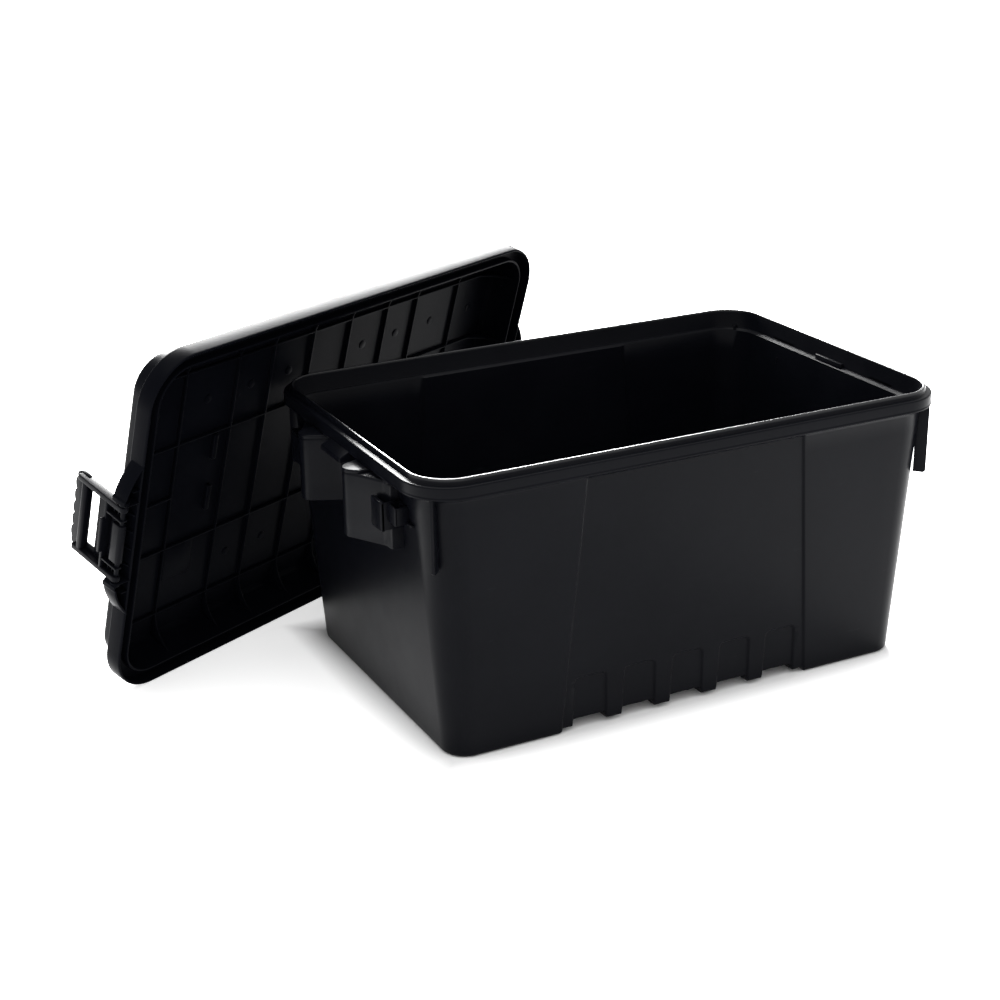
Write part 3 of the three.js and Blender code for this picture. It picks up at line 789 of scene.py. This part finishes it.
def latch_arms():
    """The two deep arms, round at the pivot, and the thin cheeks beside the window."""
    bm = bmesh.new()
    side_view = arc(0, -0.4, LATCH_DEEP, 0, 180, 12)
    side_view += arc(-LATCH_DEEP + 2, ARM_END + 2, 2.0, 180, 270, 4)
    side_view += arc(LATCH_DEEP - 2, ARM_END + 2, 2.0, 270, 360, 4)
    for side in (-1, 1):
        inner, outer = sorted((side * (LATCH_HALF - ARM_WIDTH), side * LATCH_HALF))
        prism(bm, side_view, inner, outer, 0.9, STAND_ALONG_Y, 3)
        near, far = sorted((side * WINDOW_HALF, side * (LATCH_HALF - 2)))
        slab(bm, WEB_FACE, LATCH_DEEP - 0.3, near, far, GRIP_TOP - 1, WINDOW_END + 1, 0.5)
    return bm


def latch_web():
    """The thin web with its small ribs, the bar with its hook, and the plate around the pivot pin."""
    deep = LATCH_DEEP
    half = LATCH_HALF
    bm = bmesh.new()
    slab(bm, WEB_FACE, deep - 0.1, -half + 2, half - 2, WINDOW_END, -3.5, 0.6, 3)
    slab(bm, -deep, 3.4, -half + 4, half - 4, HOOK_LOW + 0.6, HOOK_TOP, 0.6, 3)
    slab(bm, -deep - 4, -deep + 2, -HOOK_HALF, HOOK_HALF, HOOK_LOW, HOOK_TOP, 0.9, 3)
    for side in (-1, 1):
        for z in (-13.5, -7.0):
            near, far = sorted((side * 29.0, side * (half - 5)))
            slab(bm, -0.6, 3.2, near, far, z - 0.8, z + 0.8, 0.4)
        slab(bm, -deep + 0.3, 3.2, side * 28 - 1.0, side * 28 + 1.0, HOOK_LOW + 1, 3.6, 0.5)
    plate = arc(0, 0, BARREL_RADIUS, 0, 180, 14) + arc(-2.6, -8.0, 2.0, 180, 270, 4)
    plate += [(deep - 0.2, -10.0), (deep - 0.2, -2.0)]
    prism(bm, plate, -PLATE_HALF, PLATE_HALF, 0.7, STAND_ALONG_Y, 3)
    prism(bm, disc(0, 0, PIN_RADIUS), -half - PIN_OUT, half + PIN_OUT, 0.4, STAND_ALONG_Y)
    return bm


# ---------------------------------------------------------------- placing

def joint(name):
    return next(j for j in frame["joints"] if j["name"] == name)


def basis(x, y, z, origin):
    """The place whose own axes point along x, y and z."""
    m = Matrix((x, y, z)).transposed().to_4x4()
    m.translation = origin
    return m


def lid_place():
    """The leaning lid's own frame, from its two latch pivots: x from left to right, and z out of its top."""
    left = Vector(joint("latch_left_swing")["pos_m"])
    right = Vector(joint("latch_right_swing")["pos_m"])
    x = (right - left).normalized()
    y = -Vector(joint("latch_left_swing")["axis"]).normalized()
    z = x.cross(y)
    return basis(x, y, z, (left + right) / 2 - z * PIVOT_HEIGHT / 1000)


def latch_place(name, lid_frame, end):
    """A latch in its open stop: the closed frame turned back by the whole of the hinge's range."""
    hinge = joint(name + "_swing")
    turned = Matrix.Rotation(math.radians(180 if end < 0 else 0), 4, "Z")
    swing = Matrix.Rotation(-math.radians(hinge["range_deg"][1]), 4, "Y")
    place = lid_frame.to_3x3().to_4x4() @ turned @ swing
    place.translation = Vector(hinge["pos_m"])
    return place


def build_tub(plastic):
    shell = piece("tub_shell", tub_shell(), plastic, "tub")
    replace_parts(shell, "tub")
    for sx, end in ((-1, "left"), (1, "right")):
        piece(f"latch_ledge_{end}", latch_ledge(sx), plastic, "tub")
        for sy, side in ((-1, "front"), (1, "rear")):
            piece(f"corner_fin_{end}_{side}", corner_fin(sx, sy), plastic, "tub")
            piece(f"bracket_{end}_{side}", bracket(sx, sy), plastic, "tub")
            piece(f"strap_eye_{end}_{side}", strap_eye(sx, sy), plastic, "tub")


def build_lid(plastic, place):
    shell = piece("lid_shell", lid_shell(), plastic, "lid", place)
    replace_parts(shell, "lid")
    piece("lid_bosses", lid_bosses(), plastic, "lid", place)
    for sign, side in ((-1, "minus"), (1, "plus")):
        for number, y in enumerate(LONG_RIBS, 1):
            piece(f"long_rib_{side}_{number}", long_rib(sign * y), plastic, "lid", place)
        for number, x in enumerate(CROSS_RIBS, 1):
            piece(f"cross_rib_{side}_{number}", cross_rib(sign * x), plastic, "lid", place)
        piece(f"bracing_rib_{side}", bracing_rib(sign), plastic, "lid", place)
        piece(f"latch_shelf_{side}", latch_shelf(sign), plastic, "lid", place)
        for sy in (-1, 1):
            piece(f"ear_{side}_{sy + 2}", ear(sign, sy), plastic, "lid", place)


def build_latches(plastic, lid_frame):
    for name, end in (("latch_left", -1), ("latch_right", 1)):
        place = latch_place(name, lid_frame, end)
        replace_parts(piece(name + "_arms", latch_arms(), plastic, name, place), name)
        piece(name + "_grip", latch_grip(), plastic, name, place)
        piece(name + "_web", latch_web(), plastic, name, place)


# ---------------------------------------------------------------- studio

def studio_floor():
    bm = bmesh.new()
    bmesh.ops.create_grid(bm, x_segments=1, y_segments=1, size=20)
    mesh = bpy.data.meshes.new("studio_floor")
    bm.to_mesh(mesh)
    bm.free()
    mesh.materials.append(pale_floor())
    floor = bpy.data.objects.new("studio_floor", mesh)
    bpy.context.scene.collection.objects.link(floor)
    floor.location.z = -0.0002


def soft_light(name, towards, distance, width, height, power):
    """A large flat lamp in a direction from the trunk, facing it."""
    lamp = bpy.data.lights.new(name, "AREA")
    lamp.shape = "RECTANGLE"
    lamp.size = width
    lamp.size_y = height
    lamp.energy = power
    made = bpy.data.objects.new(name, lamp)
    bpy.context.scene.collection.objects.link(made)
    direction = Vector(towards).normalized()
    made.location = Vector(LAMPS_FACE) + direction * distance
    made.rotation_euler = direction.to_track_quat("Z", "Y").to_euler()


def studio():
    scene = bpy.context.scene
    scene.view_settings.view_transform = "Standard"
    world = bpy.data.worlds.new("studio")
    world.use_nodes = True
    world.node_tree.nodes["Background"].inputs[0].default_value = (1.0, 1.0, 1.0, 1)
    world.node_tree.nodes["Background"].inputs[1].default_value = 1.15
    scene.world = world
    studio_floor()
    soft_light("back_light", (0.26, 0.85, 0.45), 3.2, 2.2, 1.2, 560)
    soft_light("top_light", (-0.1, 0.1, 1.0), 2.4, 2.6, 2.0, 40)


def studio_camera():
    data = bpy.data.cameras.new("studio_camera")
    data.sensor_width = 36.0
    data.lens = CAMERA_LENS
    made = bpy.data.objects.new("studio_camera", data)
    bpy.context.scene.collection.objects.link(made)
    heading = Matrix.Rotation(math.radians(CAMERA_HEADING), 4, "Z")
    tilt = Matrix.Rotation(math.radians(90 - CAMERA_DOWN), 4, "X")
    roll = Matrix.Rotation(math.radians(CAMERA_ROLL), 4, "Z")
    made.matrix_world = Matrix.Translation(CAMERA_PLACE) @ heading @ tilt @ roll
    bpy.context.scene.camera = made


studio_camera()
studio()
tub_plastic = moulded_plastic("tub_plastic", *TUB_PLASTIC, RUBBED_LIP)
lid_plastic = moulded_plastic("lid_plastic", *LID_PLASTIC)
latch_plastic = moulded_plastic("latch_plastic", *LATCH_PLASTIC)
lid_frame = lid_place()
build_tub(tub_plastic)
build_lid(lid_plastic, lid_frame)
build_latches(latch_plastic, lid_frame)
